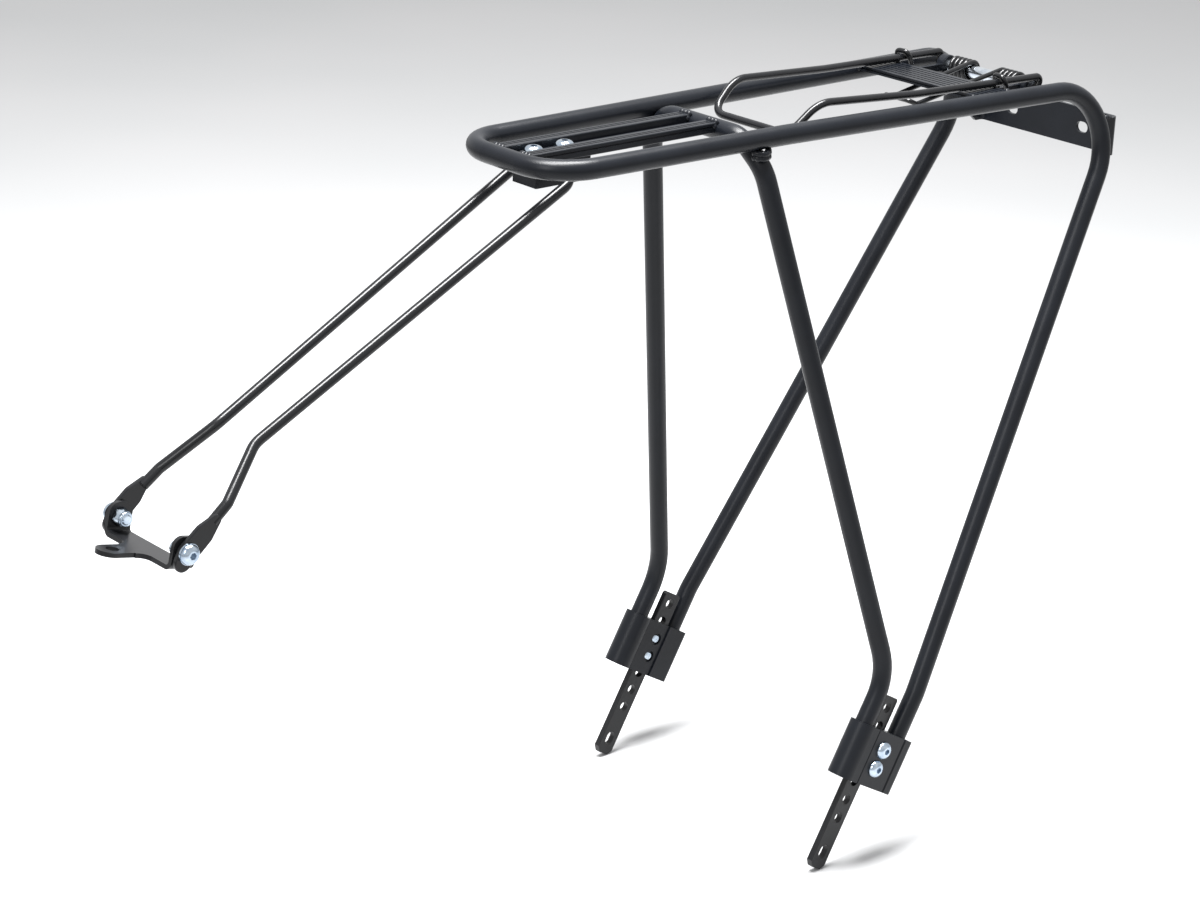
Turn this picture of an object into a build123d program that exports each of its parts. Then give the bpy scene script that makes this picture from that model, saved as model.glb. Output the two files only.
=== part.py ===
"""Bicycle rear rack with a spring clamp, adjustable feet and a sliding front stay.

Millimetres. +X points to the front of the bicycle, +Y to its left and +Z up. The
parts are built in the deck frame, whose origin is on the centre plane at the rear
deck bends, and are then moved so that the row's origin is the bottom centre of the
whole rack's box.
"""
import os
from math import cos, radians, sin

from build123d import *

# ---- tubes -------------------------------------------------------------------
TUBE_R = 5.0                    # every frame tube is 10 mm outside
TUBE_WALL = 1.5

# ---- deck: rail centre lines seen from above ----------------------------------
DECK_LENGTH = 389.0             # rear bend corner to front cross tube
WAIST_X = 245.0                 # the rails kink slightly here
REAR_HALF = 50.0                # half widths of the rails' centre lines
WAIST_HALF = 39.2
FRONT_HALF = 35.8
DECK_RISE = 1.9                 # the front of the deck sits a little higher
FRONT_CORNER_R = 24.0
REAR_BEND_R = 32.0
WAIST_BEND_R = 300.0

# ---- feet: the two legs of each side end side by side in a clamp --------------
FOOT_HALF = 87.0                # legs' centre planes at the feet
FOOT_LEAN = 29.9                # degrees, feet lean forward going down
FOOT_X = 196.8                  # front leg's foot corner
FOOT_Z = -278.9
LEG_PITCH = 28.9                # front leg to rear leg in the clamp
REAR_FOOT_DROP = 3.6            # rear leg's corner lies this much further down the foot
FOOT_BEND_R = 34.0
LEG_END = 56.0                  # both legs end this far down the foot

# ---- front hoop -----------------------------------------------------------------
HOOP_X = 263.5                  # cross tube between the rails
HOOP_Z = 1.0
HOOP_SHOULDER = 26.0            # half length of the straight cross tube
HOOP_TUCK = (40.1, -13.1)       # half width and height where the leg passes under the rail
HOOP_LEAN = 0.2384              # the hoop's plane leans back, mm per mm
HOOP_SHOULDER_R = 14.0
HOOP_TUCK_R = 22.0

# ---- deck bars ------------------------------------------------------------------
BAR_INNER = 6.0
BAR_WIDTH = 7.4
BAR_TOP = 5.5
BAR_HEIGHT = 5.2
LEDGE_INNER = 3.7               # ledges that the stay clamp's washers run on
LEDGE_TOP = 1.6
LEDGE_BOTTOM = 0.3
BAR_GROOVE = 0.5

# ---- rear bridge plate and the spring clamp's hinge ---------------------------------
PLATE_REAR_X = 89.3
PLATE_FRONT_X = 113.3
PLATE_TOP = 4.7
PLATE_THICK = 2.8
PLATE_HALF = 44.0
PLATE_GROOVES = 6
HINGE_X = 57.8
HINGE_Z = 0.2
HINGE_TUBE_R = 3.5
HINGE_TUBE_HALF = 31.6
LUG_INNER = 26.4                # bosses that hold the hinge tube's ends
LUG_R = 5.8
LUG_WEB_THICK = 2.3
LUG_WEB_FRONT_X = 98.0
LUG_WEB_DEPTH = 3.7

# ---- spring clamp bail -------------------------------------------------------------
BAIL_R = 2.0
BAIL_BORE_R = 2.05
BAIL_END_Y = 9.0                # the wire's ends stop inside the hinge tube
BAIL_REAR = (55.0, 34.9, 6.4)
BAIL_MIDDLE = (147.3, 32.8, 8.2)
BAIL_SHOULDER = (214.7, 30.0, 11.7)
BAIL_NOSE = (231.5, 27.1, -2.6)
BAIL_RADII = [2.6, 2.5, 200.0, 20.0, 9.0]

# ---- torsion spring ----------------------------------------------------------------
SPRING_WIRE_R = 1.3
COIL_R = 5.1
COIL_INNER_Y = 10.3
COIL_PITCH = 2.9
COIL_TURNS = 4.5
LOOP_HALF = 9.0
LOOP_LOW_X = 121.0
LOOP_LOW_Z = -5.4
LOOP_FRONT = (126.1, -3.1)

# ---- rear light bracket --------------------------------------------------------------
LIGHT_FRONT_X = 5.3
LIGHT_TOP = -19.3
LIGHT_BOTTOM = -40.2
LIGHT_HALF = 48.0
LIGHT_THICK = 2.0
LIGHT_REACH = 17.0              # how far the side flanges reach forward
LIGHT_HOLE_SPACING = 50.0
LIGHT_HOLE_R = 3.0
LIGHT_HOLE_LENGTH = 8.0         # the holes are short slots

# ---- foot clamps ------------------------------------------------------------------------
CLAMP_START = 27.6
CLAMP_LENGTH = 30.0
CLAMP_R = 7.4                   # round front socket, and half thickness of the body
CLAMP_WEB_INNER = -6.6          # inner face of the recessed web
CLAMP_REAR_START = 20.3
CLAMP_REAR_END = 36.2
CLAMP_REAR_CORNER_R = 3.4
SOCKET_R = 5.04
SEAM_AT = 5.5
CREASE_AT = 28.2

# ---- adjuster strips ----------------------------------------------------------------------
STRIP_MIDDLE = LEG_PITCH / 2
STRIP_WIDTH = 12.0
STRIP_THICK = 3.5
STRIP_TOP_CHAMFER = 1.4
STRIP_LOW_CHAMFER = 3.0
STRIP_OUT = -3.2                # strip's middle plane, from the legs' centre plane
STRIP_START = 10.0
STRIP_END = 107.0
STRIP_HOLE_R = 2.75
STRIP_FIRST_HOLE = 16.1
STRIP_HOLE_PITCH = 10.4
STRIP_HOLES = 7
STRIP_SLOT_AT = 97.8
STRIP_SLOT_LENGTH = 7.7
CLAMPED_HOLES = (2, 3)
SLIP = 0.1

# ---- stay clamp under the bars --------------------------------------------------------------
BLOCK_REAR_X = 343.4
BLOCK_FRONT_X = 376.9
BLOCK_HALF = 8.8
BLOCK_TOP = 0.0
BLOCK_BOTTOM = -12.6
BLOCK_GAP = 0.8
BLOCK_BOLT_X = (352.6, 371.6)
PIVOT_X = 362.1
PIVOT_Z = -7.3

# ---- front stay -------------------------------------------------------------------------------
STAY_R = 2.6
STAY_SHOULDER = 19.3
STAY_ELBOW = (539.3, 14.9, -102.2)
STAY_KNEE = (561.8, 26.6, -121.6)
EYE_X = 584.0
EYE_Z = -138.9
EYE_INNER = 26.9
EYE_THICK = 2.6
EYE_R = 4.8
EYE_END = (2.4, -4.0)           # the flattened end's outline, from the hole
EYE_END_R = 4.3
EYE_WIDE = (-8.5, 6.6)
EYE_WIDE_R = 5.1
EYE_NECK = (-15.0, 12.0)
EYE_LENGTH = 17.5               # the round bar stops this far from the hole

# ---- front bracket: lengths from the pivot, along and square to its base -----------------------
EAR_OUTER = 26.6
SHEET = 2.2
BRACKET_PITCH = 12.0            # degrees, the tongue points up a little
BASE_DROP = 6.7
BASE_BACK = 6.2
BASE_FRONT = 6.0
EAR_TOP = 6.8
EAR_CORNER_R = 4.8
TONGUE_LENGTH = 26.3
TONGUE_HOLE_X = 18.6
TONGUE_HALF = 6.3
TONGUE_ROOT_HALF = 12.0
TONGUE_FLARE_R = 5.0
TONGUE_HOLE_R = 3.1
BRACKET_BEND_R = 4.0

# ---- fasteners --------------------------------------------------------------------------------
BOLT_R = 2.5
HEAD_R = 4.75
HEAD_HEIGHT = 2.75
HEAD_FLAT_R = 2.3
KEY_WIDTH = 3.0
KEY_DEPTH = 1.7
WASHER_R = 5.0
WASHER_THICK = 1.0
NUT_WIDTH = 8.0
NUT_HEIGHT = 4.7
RUN = 0.3                       # gap left between pieces that move past each other


# ---- shared shapes --------------------------------------------------------------------------
def rod(points, radii, radius):
    """A round bar along straight runs joined by tangent arcs."""
    path = FilletPolyline(*points, radius=radii)
    section = Plane(path @ 0, z_dir=path % 0) * Circle(radius)
    return sweep(section, path=path)


def tube(points, radii, radius, wall):
    """A round tube along straight runs joined by tangent arcs."""
    return rod(points, radii, radius) - rod(points, radii, radius - wall)


def mirrored(shape):
    """The same piece on the other side of the centre plane."""
    return mirror(shape, about=Plane.XZ)


def group(pieces):
    """Separate solids that share one node."""
    return Compound(children=list(pieces))


def both_sides(points):
    """A route from right to left, from its left half."""
    right = [(x, -y, z) for x, y, z in points]
    return right + [tuple(p) for p in reversed(points)]


def foot_plane():
    """Local x runs rearward across the foot, y outboard and z down the foot."""
    lean = radians(FOOT_LEAN)
    return Plane(
        origin=(FOOT_X, FOOT_HALF, FOOT_Z),
        x_dir=(-cos(lean), 0, -sin(lean)),
        z_dir=(sin(lean), 0, -cos(lean)),
    )


def foot_point(across, out, down):
    """A point given in the foot's own directions, in the deck frame."""
    return tuple(foot_plane().from_local_coords(Vector(across, out, down)))


def y_cylinder(x, z, radius, y_from, y_to):
    """A cylinder along Y."""
    plane = Plane(origin=(x, y_from, z), x_dir=(1, 0, 0), z_dir=(0, 1, 0))
    return extrude(plane * Circle(radius), amount=y_to - y_from)


def hex_prism(width, height):
    """A hexagonal prism standing on the XY plane, width across its flats."""
    return extrude(RegularPolygon(radius=width / 2, side_count=6, major_radius=False), amount=height)


def button_bolt(length):
    """A domed socket bolt: head above z = 0, shank below it."""
    half = Polyline((0, HEAD_HEIGHT), (HEAD_FLAT_R, HEAD_HEIGHT))
    dome = ThreePointArc((HEAD_FLAT_R, HEAD_HEIGHT), (3.95, 1.85), (HEAD_R, 0.4))
    rest = Polyline(
        (HEAD_R, 0.4), (HEAD_R, 0), (BOLT_R, 0), (BOLT_R, 0.6 - length),
        (BOLT_R - 0.6, -length), (0, -length), (0, HEAD_HEIGHT),
    )
    outline = Plane.XZ * make_face([half, dome, rest])
    key = Pos(0, 0, HEAD_HEIGHT - KEY_DEPTH) * hex_prism(KEY_WIDTH, KEY_DEPTH + 1)
    return revolve(outline, axis=Axis.Z) - key


def washer():
    """A flat washer standing on z = 0."""
    return extrude(Circle(WASHER_R) - Circle(BOLT_R + 0.15), amount=WASHER_THICK)


def lock_nut():
    """A nut with a round collar, standing on z = 0."""
    body = hex_prism(NUT_WIDTH, NUT_HEIGHT - 1.3)
    body = body & extrude(Circle(NUT_WIDTH * 0.56), amount=NUT_HEIGHT, taper=14)
    collar = Pos(0, 0, NUT_HEIGHT - 1.3) * Cylinder(3.5, 1.3, align=(Align.CENTER, Align.CENTER, Align.MIN))
    bore = Cylinder(BOLT_R + 0.02, 20)
    return fillet((body + collar).edges().group_by(Axis.Z)[-1], 0.5) - bore


# ---- frame ------------------------------------------------------------------------------------
def main_tube_route():
    """Left half of the deck loop and rear leg, from the front centre to the foot."""
    return [
        foot_point(LEG_PITCH, 0, LEG_END),
        foot_point(LEG_PITCH, 0, REAR_FOOT_DROP),
        (0, REAR_HALF, 0),
        (WAIST_X, WAIST_HALF, DECK_RISE),
        (DECK_LENGTH, FRONT_HALF, DECK_RISE),
    ]


def main_tube(radius=TUBE_R, wall=TUBE_WALL):
    """Deck loop and both rear legs, bent from one tube."""
    left = main_tube_route()
    route = left + [(x, -y, z) for x, y, z in reversed(left)]
    radii = [FOOT_BEND_R, REAR_BEND_R, WAIST_BEND_R, FRONT_CORNER_R]
    radii = radii + radii[::-1]
    if wall is None:
        return rod(route, radii, radius)
    return tube(route, radii, radius, wall)


def hoop_route():
    """Left half of the hoop, from the foot up to the shoulder of the cross tube."""
    tuck_y, tuck_z = HOOP_TUCK
    return [
        foot_point(0, 0, LEG_END),
        foot_point(0, 0, 0),
        (HOOP_X + HOOP_LEAN * (tuck_z - HOOP_Z), tuck_y, tuck_z),
        (HOOP_X, HOOP_SHOULDER, HOOP_Z),
    ]


def front_leg_hoop(radius=TUBE_R, wall=TUBE_WALL):
    """Front legs and the cross tube between the rails, bent from one tube."""
    left = hoop_route()
    route = left + [(x, -y, z) for x, y, z in reversed(left)]
    radii = [FOOT_BEND_R, HOOP_TUCK_R, HOOP_SHOULDER_R]
    radii = radii + radii[::-1]
    if wall is None:
        return rod(route, radii, radius)
    return tube(route, radii, radius, wall) - main_tube(TUBE_R, None)


def left_deck_bar():
    """Grooved bar from the front cross tube to the hoop, with a ledge on its inner side."""
    outer = BAR_INNER + BAR_WIDTH
    bottom = BAR_TOP - BAR_HEIGHT
    middle_x = (HOOP_X + DECK_LENGTH) / 2
    length = DECK_LENGTH - HOOP_X
    body = Rectangle(BAR_WIDTH, BAR_HEIGHT)
    body = Pos(BAR_INNER + BAR_WIDTH / 2, BAR_TOP - BAR_HEIGHT / 2) * fillet(body.vertices(), 0.6)
    ledge_height = LEDGE_TOP - LEDGE_BOTTOM
    ledge_width = BAR_INNER - LEDGE_INNER + 1
    ledge = Pos(LEDGE_INNER + ledge_width / 2, LEDGE_BOTTOM + ledge_height / 2) * Rectangle(ledge_width, ledge_height)
    section = body + ledge
    for groove_y in (BAR_INNER + 3.2, BAR_INNER + 5.2):
        section -= Pos(groove_y, BAR_TOP) * Rectangle(0.8, 2 * BAR_GROOVE)
    section -= Pos(outer, bottom + 0.62 * BAR_HEIGHT) * Rectangle(2 * BAR_GROOVE, 0.8)
    plane = Plane(origin=(middle_x - length / 2, 0, 0), x_dir=(0, 1, 0), z_dir=(1, 0, 0))
    bar = extrude(plane * section, amount=length)
    return bar - main_tube(TUBE_R, None) - front_leg_hoop(TUBE_R, None)


def rear_bridge_plate():
    """Ribbed plate across the rails."""
    depth = PLATE_FRONT_X - PLATE_REAR_X
    section = Pos(PLATE_REAR_X + depth / 2, PLATE_TOP - PLATE_THICK / 2) * Rectangle(depth, PLATE_THICK)
    pitch = depth / (PLATE_GROOVES + 1)
    for i in range(PLATE_GROOVES):
        section -= Pos(PLATE_REAR_X + pitch * (i + 1), PLATE_TOP) * Rectangle(1.1, 0.9)
    section -= Pos(PLATE_FRONT_X, PLATE_TOP - PLATE_THICK / 2) * Rectangle(1.6, 0.9)
    plane = Plane(origin=(0, PLATE_HALF, 0), x_dir=(1, 0, 0), z_dir=(0, -1, 0))
    return extrude(plane * section, amount=2 * PLATE_HALF) - main_tube(TUBE_R, None)


def left_hinge_lug():
    """Boss on the hinge tube's left end and the web that joins it to the bridge plate."""
    boss = y_cylinder(HINGE_X, HINGE_Z, LUG_R, LUG_INNER, HINGE_TUBE_HALF)
    boss = chamfer(boss.edges().filter_by(GeomType.CIRCLE), 0.5)
    top = PLATE_TOP - PLATE_THICK
    web_length = LUG_WEB_FRONT_X - HINGE_X
    web = Box(web_length, LUG_WEB_THICK, LUG_WEB_DEPTH, align=(Align.MIN, Align.MIN, Align.MAX))
    lug = boss + Pos(HINGE_X, LUG_INNER, top) * web
    return lug - y_cylinder(HINGE_X, HINGE_Z, HINGE_TUBE_R, 0, 2 * HINGE_TUBE_HALF)


def hinge_tube():
    """Plated tube that the bail's wire ends turn in."""
    outer = y_cylinder(HINGE_X, HINGE_Z, HINGE_TUBE_R, -HINGE_TUBE_HALF, HINGE_TUBE_HALF)
    return outer - y_cylinder(HINGE_X, HINGE_Z, BAIL_BORE_R, -HINGE_TUBE_HALF, HINGE_TUBE_HALF)


def rear_light_bracket():
    """Channel across the rear bends, with two holes for a light or reflector."""
    height = LIGHT_TOP - LIGHT_BOTTOM
    rear_x = LIGHT_FRONT_X - LIGHT_THICK
    depth = LIGHT_THICK + LIGHT_REACH
    outer = Pos(rear_x + depth / 2, 0) * Rectangle(depth, 2 * LIGHT_HALF)
    outer = fillet(outer.vertices().group_by(Axis.X)[0], 4.0)
    inner = Pos(LIGHT_FRONT_X + depth / 2, 0) * Rectangle(depth, 2 * (LIGHT_HALF - LIGHT_THICK))
    inner = fillet(inner.vertices().group_by(Axis.X)[0], 2.0)
    channel = extrude(Plane.XY.offset(LIGHT_BOTTOM) * (outer - inner), amount=height)
    for side in (-1, 1):
        hole_y = side * LIGHT_HOLE_SPACING / 2
        middle_z = (LIGHT_TOP + LIGHT_BOTTOM) / 2
        plane = Plane(origin=(rear_x - 1, hole_y, middle_z), x_dir=(0, 1, 0), z_dir=(1, 0, 0))
        channel -= extrude(plane * SlotOverall(LIGHT_HOLE_LENGTH, 2 * LIGHT_HOLE_R), amount=LIGHT_THICK + 2)
    sweep_r = 26.0
    channel -= y_cylinder(LIGHT_FRONT_X + LIGHT_REACH + 6, LIGHT_BOTTOM - sweep_r + 7, sweep_r, -60, 60)
    return channel - main_tube(TUBE_R, None)


# ---- feet -------------------------------------------------------------------------------------
def left_leg_clamp():
    """Extruded clamp: a socket for each leg and a slot for the strip between them."""
    web_depth = CLAMP_R - CLAMP_WEB_INNER
    web = Pos(LEG_PITCH / 2, (CLAMP_R + CLAMP_WEB_INNER) / 2) * Rectangle(LEG_PITCH, web_depth)
    rear_width = CLAMP_REAR_END - CLAMP_REAR_START
    rear = Pos((CLAMP_REAR_END + CLAMP_REAR_START) / 2, 0) * Rectangle(rear_width, 2 * CLAMP_R)
    rear = fillet(rear.vertices().group_by(Axis.X)[-1], CLAMP_REAR_CORNER_R)
    section = Circle(CLAMP_R) + web + rear
    section -= Circle(SOCKET_R)
    section -= Pos(LEG_PITCH, 0) * Circle(SOCKET_R)
    slot_width = STRIP_WIDTH + 2 * SLIP
    slot_depth = STRIP_THICK + 2 * SLIP
    section -= Pos(STRIP_MIDDLE, STRIP_OUT) * Rectangle(slot_width, slot_depth)
    section -= Pos(SEAM_AT, CLAMP_R) * Rot(0, 0, 45) * Rectangle(0.6, 0.6)
    section -= Pos(CREASE_AT, CLAMP_R) * Rot(0, 0, 45) * Rectangle(1.1, 1.1)
    local = Plane.XY.offset(CLAMP_START) * section
    body = extrude(local, amount=CLAMP_LENGTH)
    for index in CLAMPED_HOLES:
        down = STRIP_FIRST_HOLE + STRIP_HOLE_PITCH * index
        body -= y_cylinder_local(STRIP_MIDDLE, down, BOLT_R + 0.05, -20, 20)
        body -= y_cylinder_local(STRIP_MIDDLE, down, 3.3, -20, CLAMP_WEB_INNER + 0.8)
    return foot_plane().from_local_coords(body)


def y_cylinder_local(across, down, radius, out_from, out_to):
    """A cylinder along the foot's outboard direction, in the foot's own directions."""
    plane = Plane(origin=(across, out_from, down), x_dir=(1, 0, 0), z_dir=(0, 1, 0))
    return extrude(plane * Circle(radius), amount=out_to - out_from)


def left_adjuster_strip():
    """Flat strip with a row of holes and a slot for the bicycle's dropout bolt."""
    length = STRIP_END - STRIP_START
    plane = Plane(origin=(STRIP_MIDDLE, STRIP_OUT - STRIP_THICK / 2, (STRIP_START + STRIP_END) / 2),
                  x_dir=(1, 0, 0), z_dir=(0, 1, 0))
    outline = Rectangle(STRIP_WIDTH, length)
    ends = outline.vertices().group_by(Axis.Y)
    outline = chamfer(ends[0], STRIP_LOW_CHAMFER)
    outline = chamfer(outline.vertices().group_by(Axis.Y)[-1], STRIP_TOP_CHAMFER)
    strip = extrude(plane * outline, amount=STRIP_THICK)
    strip = fillet(strip.edges().filter_by(Axis.Z), 0.5)
    for index in range(STRIP_HOLES):
        down = STRIP_FIRST_HOLE + STRIP_HOLE_PITCH * index
        strip -= y_cylinder_local(STRIP_MIDDLE, down, STRIP_HOLE_R, -20, 20)
    slot = SlotOverall(STRIP_SLOT_LENGTH, 2 * STRIP_HOLE_R, rotation=90)
    slot_plane = Plane(origin=(STRIP_MIDDLE, -20, STRIP_SLOT_AT), x_dir=(1, 0, 0), z_dir=(0, 1, 0))
    strip -= extrude(slot_plane * slot, amount=40)
    return foot_plane().from_local_coords(strip)


def left_clamp_bolts():
    """The two bolts that pin a strip in its clamp."""
    bolts = []
    for index in CLAMPED_HOLES:
        down = STRIP_FIRST_HOLE + STRIP_HOLE_PITCH * index
        seat = Plane(origin=(STRIP_MIDDLE, CLAMP_R, down), x_dir=(1, 0, 0), z_dir=(0, 1, 0))
        length = CLAMP_R - CLAMP_WEB_INNER - 0.3
        bolts.append(foot_plane().from_local_coords(seat.from_local_coords(button_bolt(length))))
    return bolts


# ---- front stay and its clamp --------------------------------------------------------------------
def block_half(bottom, top):
    """One half of the block that grips the stay's cross bar under the deck bars."""
    length = BLOCK_FRONT_X - BLOCK_REAR_X
    middle_x = (BLOCK_FRONT_X + BLOCK_REAR_X) / 2
    half = Pos(middle_x, 0, (bottom + top) / 2) * Box(length, 2 * BLOCK_HALF, top - bottom)
    half = chamfer(half.edges().filter_by(Axis.Z), 0.5)
    half -= y_cylinder(PIVOT_X, PIVOT_Z, STAY_R + 0.05, -BLOCK_HALF, BLOCK_HALF)
    for bolt_x in BLOCK_BOLT_X:
        half -= Pos(bolt_x, 0, PIVOT_Z) * Cylinder(BOLT_R + 0.1, 40)
    return half


def stay_clamp_base():
    """Lower half of the block, with pockets that hold the nuts."""
    half = block_half(BLOCK_BOTTOM, PIVOT_Z - BLOCK_GAP / 2)
    for bolt_x in BLOCK_BOLT_X:
        half -= Pos(bolt_x, 0, BLOCK_BOTTOM) * hex_prism(NUT_WIDTH + 0.2, 3.4)
    return half


def stay_clamp_top():
    """Upper half of the block, just under the deck bars."""
    return block_half(PIVOT_Z + BLOCK_GAP / 2, BLOCK_TOP)


def stay_clamp_bolts():
    """Bolts through the slot between the deck bars."""
    seat = LEDGE_TOP + RUN + WASHER_THICK
    return group(Pos(x, 0, seat) * button_bolt(seat - BLOCK_BOTTOM - 0.4) for x in BLOCK_BOLT_X)


def stay_clamp_washers():
    """Washers that bridge the two ledges."""
    return group(Pos(x, 0, LEDGE_TOP + RUN) * washer() for x in BLOCK_BOLT_X)


def stay_clamp_nuts():
    """Plain nuts in the lower half's pockets."""
    nut = hex_prism(NUT_WIDTH, 3.2) - Cylinder(BOLT_R + 0.02, 20)
    return group(Pos(x, 0, BLOCK_BOTTOM + 0.1) * nut for x in BLOCK_BOLT_X)


def stay_eye():
    """Flattened end of the left arm, with its bolt hole."""
    leaf = make_hull([
        *(Pos(*EYE_END) * Circle(EYE_END_R)).edges(),
        *Circle(EYE_R).edges(),
        *(Pos(*EYE_WIDE) * Circle(EYE_WIDE_R)).edges(),
        *(Pos(*EYE_NECK) * Circle(STAY_R)).edges(),
    ])
    plane = Plane(origin=(EYE_X, EYE_INNER + EYE_THICK, EYE_Z), x_dir=(1, 0, 0), z_dir=(0, -1, 0))
    leaf = extrude(plane * leaf, amount=EYE_THICK)
    rims = leaf.edges().group_by(Axis.Y)
    leaf = chamfer(rims[0] + rims[-1], 0.5)
    return leaf - y_cylinder(EYE_X, EYE_Z, BOLT_R + 0.1, 20, 40)


def front_stay():
    """One bent rod: a cross bar under the deck and an arm down to each side of the bracket."""
    knee = Vector(*STAY_KNEE)
    eye = Vector(EYE_X, EYE_INNER + EYE_THICK / 2, EYE_Z)
    along = (eye - knee).normalized()
    end = eye - along * EYE_LENGTH
    left = [tuple(end), STAY_KNEE, STAY_ELBOW, (PIVOT_X, STAY_SHOULDER, PIVOT_Z)]
    route = left + [(x, -y, z) for x, y, z in reversed(left)]
    bar = rod(route, [5.0, 14.0, 8.0, 8.0, 14.0, 5.0], STAY_R)
    eye_piece = stay_eye()
    return bar + eye_piece + mirrored(eye_piece)


def bracket_stack(shape, inboard):
    """A fastener on the left eye, its z axis pointing outboard from the inboard distance."""
    plane = Plane(origin=(EYE_X, inboard, EYE_Z), x_dir=(1, 0, 0), z_dir=(0, 1, 0))
    return plane.from_local_coords(shape)


def bracket_bolts():
    """Hinge bolts of the front bracket."""
    seat = EYE_INNER + EYE_THICK + WASHER_THICK
    bolt = bracket_stack(button_bolt(seat - (EAR_OUTER - SHEET - RUN - NUT_HEIGHT) + 0.8), seat)
    return group([bolt, mirrored(bolt)])


def bracket_washers():
    """Washers under the hinge bolts' heads."""
    piece = bracket_stack(washer(), EYE_INNER + EYE_THICK)
    return group([piece, mirrored(piece)])


def bracket_nuts():
    """Lock nuts inside the bracket's ears."""
    piece = bracket_stack(Rot(180, 0, 0) * lock_nut(), EAR_OUTER - SHEET - RUN)
    return group([piece, mirrored(piece)])


# ---- front bracket ---------------------------------------------------------------------------------
def bracket_outline():
    """The bracket's base and tongue seen from above, pivot axis at the origin."""
    base = Pos((BASE_FRONT - BASE_BACK) / 2, 0) * Rectangle(BASE_FRONT + BASE_BACK, 2 * EAR_OUTER)
    tip_x = TONGUE_LENGTH - TONGUE_HALF
    strap = Pos(tip_x / 2, 0) * Rectangle(tip_x, 2 * TONGUE_HALF)
    strap += Pos(tip_x, 0) * Circle(TONGUE_HALF)
    flare = Pos(BASE_FRONT, 0) * Rectangle(2 * TONGUE_FLARE_R, 2 * TONGUE_ROOT_HALF)
    for side in (-1, 1):
        flare -= Pos(BASE_FRONT + TONGUE_FLARE_R, side * TONGUE_ROOT_HALF) * Circle(TONGUE_FLARE_R)
    return base + strap + flare


def front_bracket():
    """Bent sheet bracket: two ears on the stay's eyes and a tongue with a bolt hole."""
    tall = BASE_DROP + SHEET + EAR_TOP
    outer = Pos(0, EAR_TOP - tall / 2) * Rectangle(2 * EAR_OUTER, tall)
    outer = fillet(outer.vertices().group_by(Axis.Y)[0], BRACKET_BEND_R)
    inner = Pos(0, EAR_TOP - tall / 2 + SHEET) * Rectangle(2 * (EAR_OUTER - SHEET), tall)
    inner = fillet(inner.vertices().group_by(Axis.Y)[0], BRACKET_BEND_R - SHEET)
    plane = Plane(origin=(-BASE_BACK, 0, 0), x_dir=(0, 1, 0), z_dir=(1, 0, 0))
    channel = extrude(plane * (outer - inner), amount=BASE_BACK + BASE_FRONT)
    ear = Pos((BASE_FRONT - BASE_BACK) / 2, EAR_TOP - tall / 2) * Rectangle(BASE_FRONT + BASE_BACK, tall)
    ear = fillet(ear.vertices().group_by(Axis.Y)[-1], EAR_CORNER_R)
    side = Plane(origin=(0, EAR_OUTER, 0), x_dir=(1, 0, 0), z_dir=(0, -1, 0))
    channel = channel & extrude(side * ear, amount=2 * EAR_OUTER)
    sheet = extrude(Plane.XY.offset(-BASE_DROP - SHEET) * bracket_outline(), amount=SHEET)
    sheet = sheet & Pos(10, 0, 0) * Box(80, 2 * (EAR_OUTER - BRACKET_BEND_R), 80)
    bracket = channel + sheet
    bracket -= Pos(TONGUE_HOLE_X, 0, 0) * Cylinder(TONGUE_HOLE_R, 40)
    bracket -= y_cylinder(0, 0, BOLT_R + 0.05, -40, 40)
    pitch = radians(BRACKET_PITCH)
    rest = Plane(origin=(EYE_X, 0, EYE_Z), x_dir=(cos(pitch), 0, sin(pitch)), z_dir=(-sin(pitch), 0, cos(pitch)))
    return rest.from_local_coords(bracket)


# ---- spring clamp ------------------------------------------------------------------------------------
def bail():
    """Sprung wire that holds luggage down, hinged in the plated tube."""
    left = [
        (HINGE_X, BAIL_END_Y, HINGE_Z),
        (HINGE_X, BAIL_REAR[1], HINGE_Z),
        BAIL_REAR, BAIL_MIDDLE, BAIL_SHOULDER, BAIL_NOSE,
    ]
    route = left + [(x, -y, z) for x, y, z in reversed(left)]
    return rod(route, BAIL_RADII + BAIL_RADII[::-1], BAIL_R)


def left_coil():
    """Close-wound turns round the hinge tube."""
    length = COIL_PITCH * COIL_TURNS
    helix = Helix(pitch=COIL_PITCH, height=length, radius=COIL_R, lefthand=True)
    turns = sweep(Plane(helix @ 0, z_dir=helix % 0) * Circle(SPRING_WIRE_R), path=helix, is_frenet=True)
    plane = Plane(origin=(HINGE_X, COIL_INNER_Y, HINGE_Z), x_dir=(0, 0, 1), z_dir=(0, 1, 0))
    return plane.from_local_coords(turns)


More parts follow.
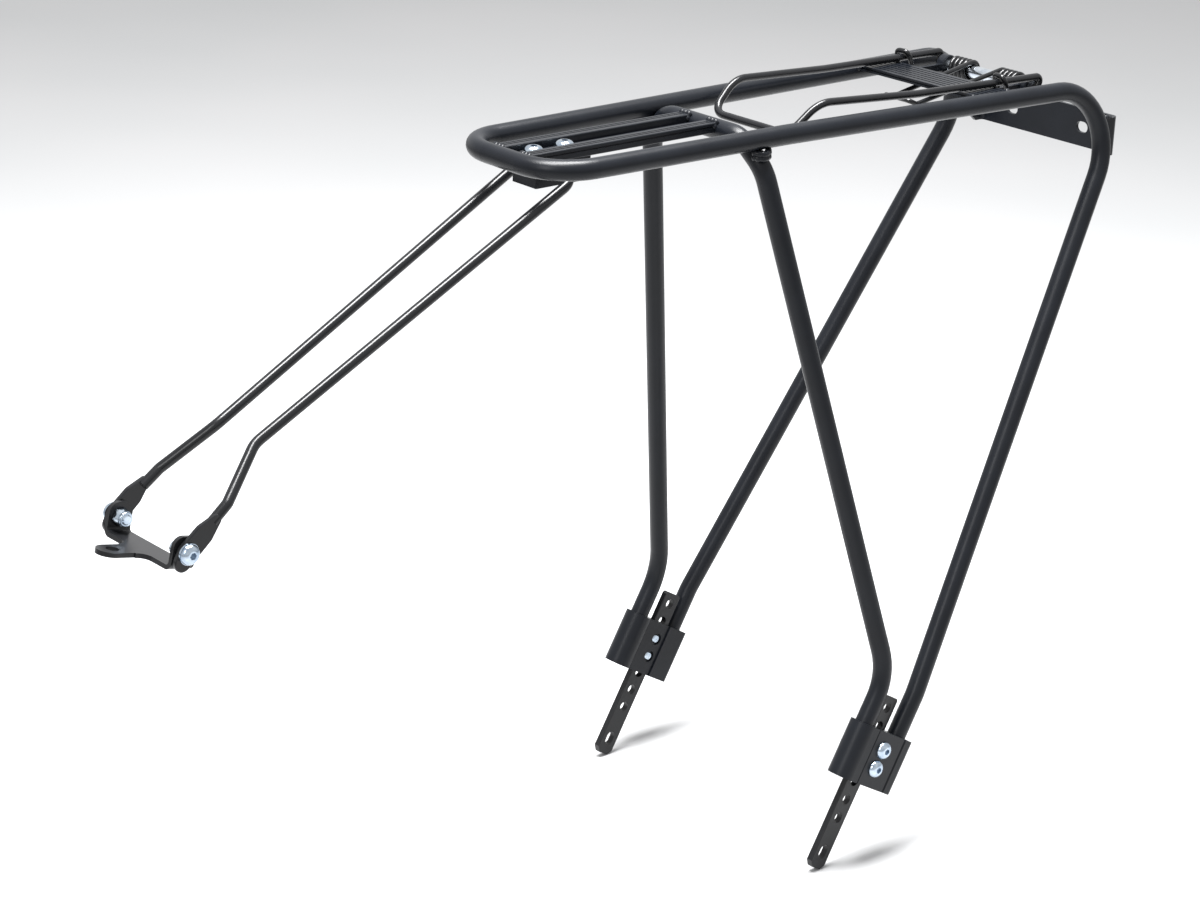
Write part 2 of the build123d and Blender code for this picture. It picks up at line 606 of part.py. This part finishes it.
def torsion_spring():
    """Double torsion spring: two coils, a centre loop under the plate and two hooked arms."""
    coil = left_coil()
    top_z = HINGE_Z + COIL_R
    bottom_z = HINGE_Z - COIL_R
    outer_y = COIL_INNER_Y + COIL_PITCH * COIL_TURNS
    inner_start = (HINGE_X - 0.4, COIL_INNER_Y, top_z)
    loop_left = [inner_start, (HINGE_X + 1.2, COIL_INNER_Y, top_z - 0.05),
                 (LOOP_LOW_X, LOOP_HALF, LOOP_LOW_Z), (LOOP_FRONT[0], LOOP_HALF, LOOP_FRONT[1])]
    loop_route = loop_left + [(x, -y, z) for x, y, z in reversed(loop_left)]
    loop = rod(loop_route, [4.0, 3.0, 2.0, 2.0, 3.0, 4.0], SPRING_WIRE_R)
    hook = rod([
        (HINGE_X - 0.4, outer_y, bottom_z), (HINGE_X + 2.5, outer_y, bottom_z),
        (HINGE_X + 22.7, 30.5, HINGE_Z - 4.1), (HINGE_X + 29.3, 30.5, HINGE_Z + 10.3),
        (HINGE_X + 30.3, 38.2, HINGE_Z + 10.3), (HINGE_X + 26.2, 38.2, HINGE_Z + 1.0),
    ], [4.0, 4.0, 2.4, 2.4], SPRING_WIRE_R)
    return coil + mirrored(coil) + loop + hook + mirrored(hook)


# ---- all nodes ---------------------------------------------------------------------------------------
def build():
    """Every node, in the deck frame."""
    clamp = left_leg_clamp()
    strip = left_adjuster_strip()
    bar = left_deck_bar()
    lug = left_hinge_lug()
    left_bolts = left_clamp_bolts()
    return {
        "main_tube": main_tube(),
        "front_leg_hoop": front_leg_hoop(),
        "left_deck_bar": bar,
        "right_deck_bar": mirrored(bar),
        "rear_bridge_plate": rear_bridge_plate(),
        "rear_light_bracket": rear_light_bracket(),
        "left_hinge_lug": lug,
        "right_hinge_lug": mirrored(lug),
        "hinge_tube": hinge_tube(),
        "left_leg_clamp": clamp,
        "right_leg_clamp": mirrored(clamp),
        "left_adjuster_strip": strip,
        "right_adjuster_strip": mirrored(strip),
        "left_clamp_bolts": group(left_bolts),
        "right_clamp_bolts": group(mirrored(b) for b in left_bolts),
        "stay_clamp_top": stay_clamp_top(),
        "stay_clamp_base": stay_clamp_base(),
        "stay_clamp_bolts": stay_clamp_bolts(),
        "stay_clamp_washers": stay_clamp_washers(),
        "stay_clamp_nuts": stay_clamp_nuts(),
        "front_stay": front_stay(),
        "bracket_bolts": bracket_bolts(),
        "bracket_washers": bracket_washers(),
        "bracket_nuts": bracket_nuts(),
        "front_bracket": front_bracket(),
        "spring_bail": bail(),
        "torsion_spring": torsion_spring(),
    }


nodes = build()
box = Compound(children=[copy_of for copy_of in (Pos(0, 0, 0) * n for n in nodes.values())]).bounding_box()
shift = (-box.center().X, -box.center().Y, -box.min.Z)
print("row origin in the deck frame:", [round(-s, 4) for s in shift])

os.makedirs("parts", exist_ok=True)
for name, shape in nodes.items():
    export_step(Pos(*shift) * shape, f"parts/{name}.step")
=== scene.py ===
import math

import bpy
from mathutils import Matrix, Vector


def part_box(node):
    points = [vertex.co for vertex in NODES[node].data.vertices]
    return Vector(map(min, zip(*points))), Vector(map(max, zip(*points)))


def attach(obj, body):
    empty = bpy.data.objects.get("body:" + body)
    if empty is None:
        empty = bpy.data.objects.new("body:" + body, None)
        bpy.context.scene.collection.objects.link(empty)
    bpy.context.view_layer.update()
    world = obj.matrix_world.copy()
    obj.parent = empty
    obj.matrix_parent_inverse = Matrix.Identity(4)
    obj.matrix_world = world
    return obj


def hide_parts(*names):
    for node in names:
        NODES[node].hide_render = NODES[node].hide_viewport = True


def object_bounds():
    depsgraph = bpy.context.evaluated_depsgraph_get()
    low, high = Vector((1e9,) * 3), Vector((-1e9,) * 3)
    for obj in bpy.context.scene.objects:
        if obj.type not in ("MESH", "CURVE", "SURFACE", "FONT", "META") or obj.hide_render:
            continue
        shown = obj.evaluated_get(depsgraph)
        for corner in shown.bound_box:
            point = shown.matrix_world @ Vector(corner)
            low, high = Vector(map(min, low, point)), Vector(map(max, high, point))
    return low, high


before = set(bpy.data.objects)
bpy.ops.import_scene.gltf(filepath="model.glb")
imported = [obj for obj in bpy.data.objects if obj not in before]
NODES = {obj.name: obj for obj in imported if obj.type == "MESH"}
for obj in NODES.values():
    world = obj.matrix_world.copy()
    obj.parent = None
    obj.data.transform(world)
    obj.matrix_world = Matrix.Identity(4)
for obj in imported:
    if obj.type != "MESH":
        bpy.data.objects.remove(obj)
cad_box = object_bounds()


# ---- deck frame: origin on the centre plane at the rear bends, +X to the front, millimetres ----
HINGE = Vector((57.8, 0.0, 0.2))


def middle(node):
    low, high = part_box(node)
    return (Vector(low) + Vector(high)) / 2


DECK = middle("hinge_tube") - HINGE / 1000


def at(x, y, z):
    """A point given in millimetres in the deck frame."""
    return DECK + Vector((x, y, z)) / 1000


# ---- materials ------------------------------------------------------------------
def material(name):
    mat = bpy.data.materials.new(name)
    mat.use_nodes = True
    tree = mat.node_tree
    shader = tree.nodes["Principled BSDF"]
    coords = tree.nodes.new("ShaderNodeTexCoord")
    return mat, tree, shader, coords


def noise(tree, coords, scale, detail):
    node = tree.nodes.new("ShaderNodeTexNoise")
    node.inputs["Scale"].default_value = scale
    node.inputs["Detail"].default_value = detail
    node.inputs["Roughness"].default_value = 0.6
    tree.links.new(coords.outputs["Object"], node.inputs["Vector"])
    return node


def ramp(tree, source, stops):
    node = tree.nodes.new("ShaderNodeValToRGB")
    while len(node.color_ramp.elements) < len(stops):
        node.color_ramp.elements.new(0.5)
    for element, (place, colour) in zip(node.color_ramp.elements, stops):
        element.position = place
        element.color = (*colour, 1.0)
    tree.links.new(source, node.inputs["Fac"])
    return node


def spread(tree, source, low, high):
    node = tree.nodes.new("ShaderNodeMapRange")
    node.inputs["To Min"].default_value = low
    node.inputs["To Max"].default_value = high
    tree.links.new(source, node.inputs["Value"])
    return node


def bump(tree, shader, sources, distance):
    previous = None
    for source, strength in sources:
        node = tree.nodes.new("ShaderNodeBump")
        node.inputs["Strength"].default_value = strength
        node.inputs["Distance"].default_value = distance
        tree.links.new(source, node.inputs["Height"])
        if previous is not None:
            tree.links.new(previous.outputs["Normal"], node.inputs["Normal"])
        previous = node
    tree.links.new(previous.outputs["Normal"], shader.inputs["Normal"])


def coated(name, dark, light, rough_low, rough_high, grain, coat):
    """Powder coat or enamel: fine orange peel, faint cloudiness and dust-sized specks."""
    mat, tree, shader, coords = material(name)
    cloud = noise(tree, coords, 38.0, 4.0)
    peel = noise(tree, coords, 1500.0, 2.0)
    speck = noise(tree, coords, 4200.0, 1.0)
    colour = ramp(tree, cloud.outputs["Fac"], [(0.3, dark), (0.72, light)])
    tree.links.new(colour.outputs["Color"], shader.inputs["Base Color"])
    rough = spread(tree, cloud.outputs["Fac"], rough_low, rough_high)
    tree.links.new(rough.outputs["Result"], shader.inputs["Roughness"])
    bump(tree, shader, [(peel.outputs["Fac"], grain), (speck.outputs["Fac"], grain * 0.5)], 0.0002)
    shader.inputs["Specular IOR Level"].default_value = 0.2
    shader.inputs["Coat Weight"].default_value = coat
    shader.inputs["Coat Roughness"].default_value = 0.2
    return mat


def zinc(name, base, tint, rough):
    """Bright plated steel with a faint blue cast and fine turning marks."""
    mat, tree, shader, coords = material(name)
    cloud = noise(tree, coords, 220.0, 3.0)
    fine = noise(tree, coords, 2600.0, 2.0)
    colour = ramp(tree, cloud.outputs["Fac"], [(0.35, base), (0.65, tint)])
    tree.links.new(colour.outputs["Color"], shader.inputs["Base Color"])
    shader.inputs["Metallic"].default_value = 1.0
    result = spread(tree, fine.outputs["Fac"], rough * 0.7, rough * 1.4)
    tree.links.new(result.outputs["Result"], shader.inputs["Roughness"])
    bump(tree, shader, [(fine.outputs["Fac"], 0.15)], 0.0001)
    return mat


TUBE = coated("satin_black", (0.0030, 0.0037, 0.0054), (0.0048, 0.0059, 0.0084), 0.30, 0.38, 0.14, 0.0)
BAR = coated("satin_bar", (0.0034, 0.0042, 0.0060), (0.0056, 0.0067, 0.0092), 0.30, 0.37, 0.10, 0.0)
ROD = coated("gloss_rod", (0.0042, 0.0044, 0.0052), (0.0065, 0.0068, 0.0078), 0.20, 0.28, 0.07, 0.15)
STEEL = coated("gloss_steel", (0.0050, 0.0052, 0.0060), (0.0080, 0.0083, 0.0092), 0.26, 0.34, 0.10, 0.12)
WIRE = coated("spring_wire", (0.0042, 0.0044, 0.0050), (0.0068, 0.0070, 0.0078), 0.16, 0.24, 0.06, 0.2)
WELD = coated("weld_bead", (0.0030, 0.0037, 0.0054), (0.0050, 0.0061, 0.0086), 0.28, 0.36, 0.16, 0.0)
ZINC = zinc("zinc", (0.30, 0.37, 0.46), (0.50, 0.57, 0.64), 0.16)
PLATED = zinc("plated_tube", (0.46, 0.50, 0.56), (0.62, 0.66, 0.70), 0.20)

# nodes that aren't listed are zinc-plated fasteners
FINISH = {
    "main_tube": TUBE, "front_leg_hoop": TUBE, "rear_light_bracket": TUBE,
    "left_leg_clamp": TUBE, "right_leg_clamp": TUBE,
    "left_hinge_lug": TUBE, "right_hinge_lug": TUBE,
    "stay_clamp_top": TUBE, "stay_clamp_base": TUBE,
    "left_deck_bar": BAR, "right_deck_bar": BAR, "rear_bridge_plate": BAR,
    "left_adjuster_strip": STEEL, "right_adjuster_strip": STEEL, "front_bracket": STEEL,
    "front_stay": ROD, "spring_bail": ROD,
    "hinge_tube": PLATED, "torsion_spring": WIRE,
}
for name, node in NODES.items():
    for slot in node.material_slots:
        slot.material = FINISH.get(name, ZINC)


# ---- swept shapes -----------------------------------------------------------------
def smooth_path(points, radii, steps=7):
    """Corner points turned into straight runs joined by arcs."""
    out = [points[0]]
    for before, corner, after, radius in zip(points, points[1:], points[2:], radii):
        a = (before - corner).normalized()
        b = (after - corner).normalized()
        angle = a.angle(b)
        reach = radius / math.tan(angle / 2)
        centre = corner + (a + b).normalized() * (radius / math.sin(angle / 2))
        start = corner + a * reach - centre
        end = corner + b * reach - centre
        turn = start.angle(end)
        for i in range(steps + 1):
            t = i / steps
            mix = start * math.sin((1 - t) * turn) + end * math.sin(t * turn)
            out.append(centre + mix / math.sin(turn))
    out.append(points[-1])
    return out


def sweep(name, path, radius_at, sides=14):
    """A closed round body along a path; the radius may change along it."""
    tangents = []
    for i in range(len(path)):
        ahead = path[min(i + 1, len(path) - 1)]
        behind = path[max(i - 1, 0)]
        tangents.append((ahead - behind).normalized())
    side = tangents[0].orthogonal().normalized()
    verts = []
    for i, (point, tangent) in enumerate(zip(path, tangents)):
        side = (side - tangent * side.dot(tangent)).normalized()
        other = tangent.cross(side)
        radius = radius_at(i / (len(path) - 1))
        for k in range(sides):
            a = 2 * math.pi * k / sides
            verts.append(point + (side * math.cos(a) + other * math.sin(a)) * radius)
    faces = []
    for i in range(len(path) - 1):
        for k in range(sides):
            n = (k + 1) % sides
            faces.append((i * sides + k, i * sides + n, (i + 1) * sides + n, (i + 1) * sides + k))
    faces.append(tuple(reversed(range(sides))))
    faces.append(tuple(range(len(verts) - sides, len(verts))))
    mesh = bpy.data.meshes.new(name)
    mesh.from_pydata([tuple(v) for v in verts], [], faces)
    mesh.validate()
    for polygon in mesh.polygons[:-2]:
        polygon.use_smooth = True
    piece = bpy.data.objects.new(name, mesh)
    bpy.context.scene.collection.objects.link(piece)
    return piece


def dress(piece, finish, body):
    piece.data.materials.append(finish)
    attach(piece, body)


# ---- torsion spring: coils and centre loop stay, hooked arms turn with the clamp ---
COIL_R = 5.1
COIL_INNER = 10.3
COIL_PITCH = 2.9
COIL_TURNS = 4.5
COIL_FIXED = COIL_TURNS - 1.0   # the last turn belongs to the hooked arm
ARM_Y = 30.5                    # the arm runs inside the bail's wire and hooks over it
HOOK_Y = 38.2
WIRE_R = 0.0013                 # metres


def coil_path(side, start, end, steps):
    """Part of one coil, in turns from its inner end at the top, going back first."""
    path = []
    for i in range(steps + 1):
        turn = start + (end - start) * i / steps
        a = 2 * math.pi * turn
        y = side * (COIL_INNER + COIL_PITCH * turn)
        path.append(at(HINGE.x - COIL_R * math.sin(a), y, HINGE.z + COIL_R * math.cos(a)))
    return path


def arm_path(side):
    """From a coil's outer end, under the bail's wire and over it in a hook."""
    outer = COIL_INNER + COIL_PITCH * COIL_TURNS
    low = HINGE.z - COIL_R
    points = [
        at(HINGE.x + 0.6, side * outer, low),
        at(HINGE.x + 2.5, side * outer, low),
        at(HINGE.x + 22.7, side * ARM_Y, HINGE.z - 4.1),
        at(HINGE.x + 29.3, side * ARM_Y, HINGE.z + 10.3),
        at(HINGE.x + 30.3, side * HOOK_Y, HINGE.z + 10.3),
        at(HINGE.x + 26.2, side * HOOK_Y, HINGE.z + 1.0),
    ]
    return smooth_path(points, [0.004, 0.004, 0.0024, 0.0024])


def loop_path():
    """The centre loop between the two coils, left to right."""
    left = [
        at(HINGE.x, COIL_INNER, HINGE.z + COIL_R),
        at(HINGE.x + 1.2, COIL_INNER, HINGE.z + COIL_R - 0.05),
        at(121.0, 9.0, -5.4), at(126.1, 9.0, -3.1),
    ]
    right = [at(*((p - DECK) * 1000)) for p in left]
    for p in right:
        p.y = 2 * DECK.y - p.y
    route = left + list(reversed(right))
    return smooth_path(route, [0.004, 0.003, 0.002, 0.002, 0.003, 0.004])


def build_spring():
    left = coil_path(1, COIL_FIXED, 0.0, 160)
    right = coil_path(-1, 0.0, COIL_FIXED, 160)
    loop = loop_path()
    coils = sweep("spring_coils", left[:-1] + loop + right[1:], lambda t: WIRE_R)
    dress(coils, WIRE, "frame")
    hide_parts("torsion_spring")
    for side, name in ((1, "spring_hook_left"), (-1, "spring_hook_right")):
        path = coil_path(side, COIL_FIXED, COIL_TURNS, 48) + arm_path(side)
        hook = sweep(name, path, lambda t: WIRE_R)
        dress(hook, WIRE, "spring_clamp")


build_spring()


# ---- weld beads ------------------------------------------------------------------------
TUBE_R = 5.0
FRONT_TUBE = (389.0, 1.9)       # x and z of the deck's front cross tube
HOOP_TUBE = (263.5, 1.0)        # and of the hoop's cross tube
REAR_HALF = 50.0                # half width of the rails at the rear bends
WAIST_HALF = 39.2               # and at the waist
WAIST_X = 245.0
BEAD_STEP = 0.0005              # metres between rings along a bead
BEAD_SIDES = 12
RIPPLE_PITCH = 2.4


def bead(name, points, size, ripple):
    """A rippled bead along a run of points, in deck millimetres, thin at both ends."""
    line = [at(*p) for p in points]
    lengths = [(b - a).length for a, b in zip(line, line[1:])]
    total = sum(lengths)
    count = max(14, int(total / BEAD_STEP))
    path = []
    for i in range(count + 1):
        left = total * i / count
        for a, b, length in zip(line, line[1:], lengths):
            if left <= length or b is line[-1]:
                path.append(a.lerp(b, min(1.0, left / length)))
                break
            left -= length
    ripples = total * 1000 / RIPPLE_PITCH

    def radius_at(t):
        ends = min(1.0, math.sqrt(max(0.0, min(t, 1 - t)) * 9) + 0.25)
        wave = 1 + ripple * (abs(math.sin(math.pi * ripples * t)) - 0.6)
        return size / 1000 * ends * wave

    dress(sweep(name, path, radius_at, BEAD_SIDES), WELD, "frame")


def ring_points(centre, radius, start, end, count):
    """Points on part of a circle square to Y, in deck millimetres; degrees from +X to +Z."""
    points = []
    for i in range(count + 1):
        a = math.radians(start + (end - start) * i / count)
        points.append(centre + Vector((math.cos(a), 0, math.sin(a))) * radius)
    return points


def bar_welds(side, hand):
    """Three short beads over each end of a deck bar."""
    for index, y in enumerate((7.4, 9.7, 12.0)):
        centre = Vector((FRONT_TUBE[0], side * y, FRONT_TUBE[1]))
        points = ring_points(centre, TUBE_R + 0.1, 168, 132, 6)
        bead(f"weld_bar_front_{hand}_{index}", points, 1.7, 0.12)
    for index, y in enumerate((7.2, 9.6, 12.0)):
        centre = Vector((HOOP_TUBE[0], side * y, HOOP_TUBE[1]))
        points = ring_points(centre, TUBE_R + 0.1, 14, 62, 6)
        bead(f"weld_bar_hoop_{hand}_{index}", points, 1.9, 0.25)


def hoop_welds(side, hand):
    """Two beads round the front of each hoop leg, just under the rail."""
    tuck = Vector((262.3, side * 39.6, -3.6))
    for index, drop in enumerate((0.0, 2.2)):
        round_leg = [(-5.2, -0.3, 0.0), (-2.6, 2.6, 0.6), (0.6, 3.6, 0.9), (3.8, 2.6, 0.6), (5.8, -0.3, 0.0)]
        points = [tuck + Vector((x, side * out, -drop - down)) for x, out, down in round_leg]
        bead(f"weld_hoop_rail_{hand}_{index}", points, 1.6, 0.16)


def plate_welds(side, hand):
    """Beads between the rail and the bridge plate's front and rear edges."""
    for index, x in enumerate((113.6, 89.0)):
        half = REAR_HALF - (REAR_HALF - WAIST_HALF) * x / WAIST_X
        rail = Vector((x, side * half, 0.7))
        up_rail = [(0, 4.9, 1.0), (0.3, 4.2, 2.9), (0.2, 3.0, 4.1)]
        points = [rail + Vector((ahead, -side * inward, up)) for ahead, inward, up in up_rail]
        bead(f"weld_plate_{hand}_{index}", points, 1.5, 0.18)


def light_weld(side, hand):
    """A bead along the top of the light bracket's side flange."""
    along_flange = [(8.2, 46.2, -20.2), (10.6, 46.6, -19.3), (14.4, 46.8, -18.8)]
    points = [(x, side * y, z) for x, y, z in along_flange]
    bead(f"weld_light_{hand}", points, 1.4, 0.16)


for weld_side, weld_hand in ((1, "left"), (-1, "right")):
    bar_welds(weld_side, weld_hand)
    hoop_welds(weld_side, weld_hand)
    plate_welds(weld_side, weld_hand)
    light_weld(weld_side, weld_hand)

# ---- floor, light and camera ----------------------------------------------------------
FLOOR_HALF = 6.0                # metres
FLOOR_GAP = 0.0005              # the floor is this far under the rack, so that they don't touch
WORLD_STRENGTH = 0.95
LIGHTS = (                      # name, place, aim, size, watts
    ("overhead", (0.0, -0.05, 1.5), (0.0, 0.0, 0.3), (1.1, 0.45), 95.0),
    ("front_side", (1.5, 0.5, 1.2), (0.0, 0.0, 0.2), (0.5, 0.8), 9.0),
)
CAMERA_AZIMUTH = 48.153         # degrees from +X towards +Y
CAMERA_ELEVATION = 20.172
CAMERA_ROLL = 2.317
CAMERA_DISTANCE = 1.4688        # metres from the point it looks at
CAMERA_AIM = (322.6, 0.0, -155.8)
CAMERA_LENS = 89.19
CAMERA_SENSOR = 36.0


def build_floor():
    size = FLOOR_HALF
    corners = [(-size, -size, 0), (size, -size, 0), (size, size, 0), (-size, size, 0)]
    mesh = bpy.data.meshes.new("floor")
    mesh.from_pydata(corners, [], [(0, 1, 2, 3)])
    floor = bpy.data.objects.new("floor", mesh)
    floor.location = (0, 0, cad_box[0][2] - FLOOR_GAP)
    bpy.context.scene.collection.objects.link(floor)
    mat, tree, shader, coords = material("pale_floor")
    cloud = noise(tree, coords, 2.0, 2.0)
    colour = ramp(tree, cloud.outputs["Fac"], [(0.3, (0.40, 0.405, 0.41)), (0.7, (0.42, 0.42, 0.425))])
    tree.links.new(colour.outputs["Color"], shader.inputs["Base Color"])
    shader.inputs["Roughness"].default_value = 0.9
    shader.inputs["Specular IOR Level"].default_value = 0.1
    floor.data.materials.append(mat)


def area_light(name, place, aim, size, power):
    data = bpy.data.lights.new(name, "AREA")
    data.shape = "RECTANGLE"
    data.size, data.size_y = size
    data.energy = power
    light = bpy.data.objects.new(name, data)
    light.location = place
    light.rotation_euler = (Vector(aim) - Vector(place)).to_track_quat("-Z", "Y").to_euler()
    bpy.context.scene.collection.objects.link(light)


def build_light():
    world = bpy.data.worlds.new("studio")
    world.use_nodes = True
    background = world.node_tree.nodes["Background"]
    background.inputs["Color"].default_value = (1.0, 1.0, 1.0, 1.0)
    background.inputs["Strength"].default_value = WORLD_STRENGTH
    bpy.context.scene.world = world
    for light in LIGHTS:
        area_light(*light)


def build_camera():
    azimuth, elevation, roll = (
        math.radians(a) for a in (CAMERA_AZIMUTH, CAMERA_ELEVATION, CAMERA_ROLL)
    )
    back = Vector((
        math.cos(elevation) * math.cos(azimuth),
        math.cos(elevation) * math.sin(azimuth),
        math.sin(elevation),
    ))
    across = Vector((-math.sin(azimuth), math.cos(azimuth), 0))
    up = back.cross(across)
    right = math.cos(roll) * across + math.sin(roll) * up
    top = -math.sin(roll) * across + math.cos(roll) * up
    data = bpy.data.cameras.new("camera")
    data.sensor_fit = "HORIZONTAL"
    data.sensor_width = CAMERA_SENSOR
    data.lens = CAMERA_LENS
    data.clip_end = 50.0
    camera = bpy.data.objects.new("camera", data)
    turn = Matrix((right, top, back)).transposed().to_4x4()
    camera.matrix_world = Matrix.Translation(at(*CAMERA_AIM) + back * CAMERA_DISTANCE) @ turn
    bpy.context.scene.collection.objects.link(camera)
    bpy.context.scene.camera = camera


build_floor()
build_light()
build_camera()
bpy.context.scene.view_settings.view_transform = "Standard"
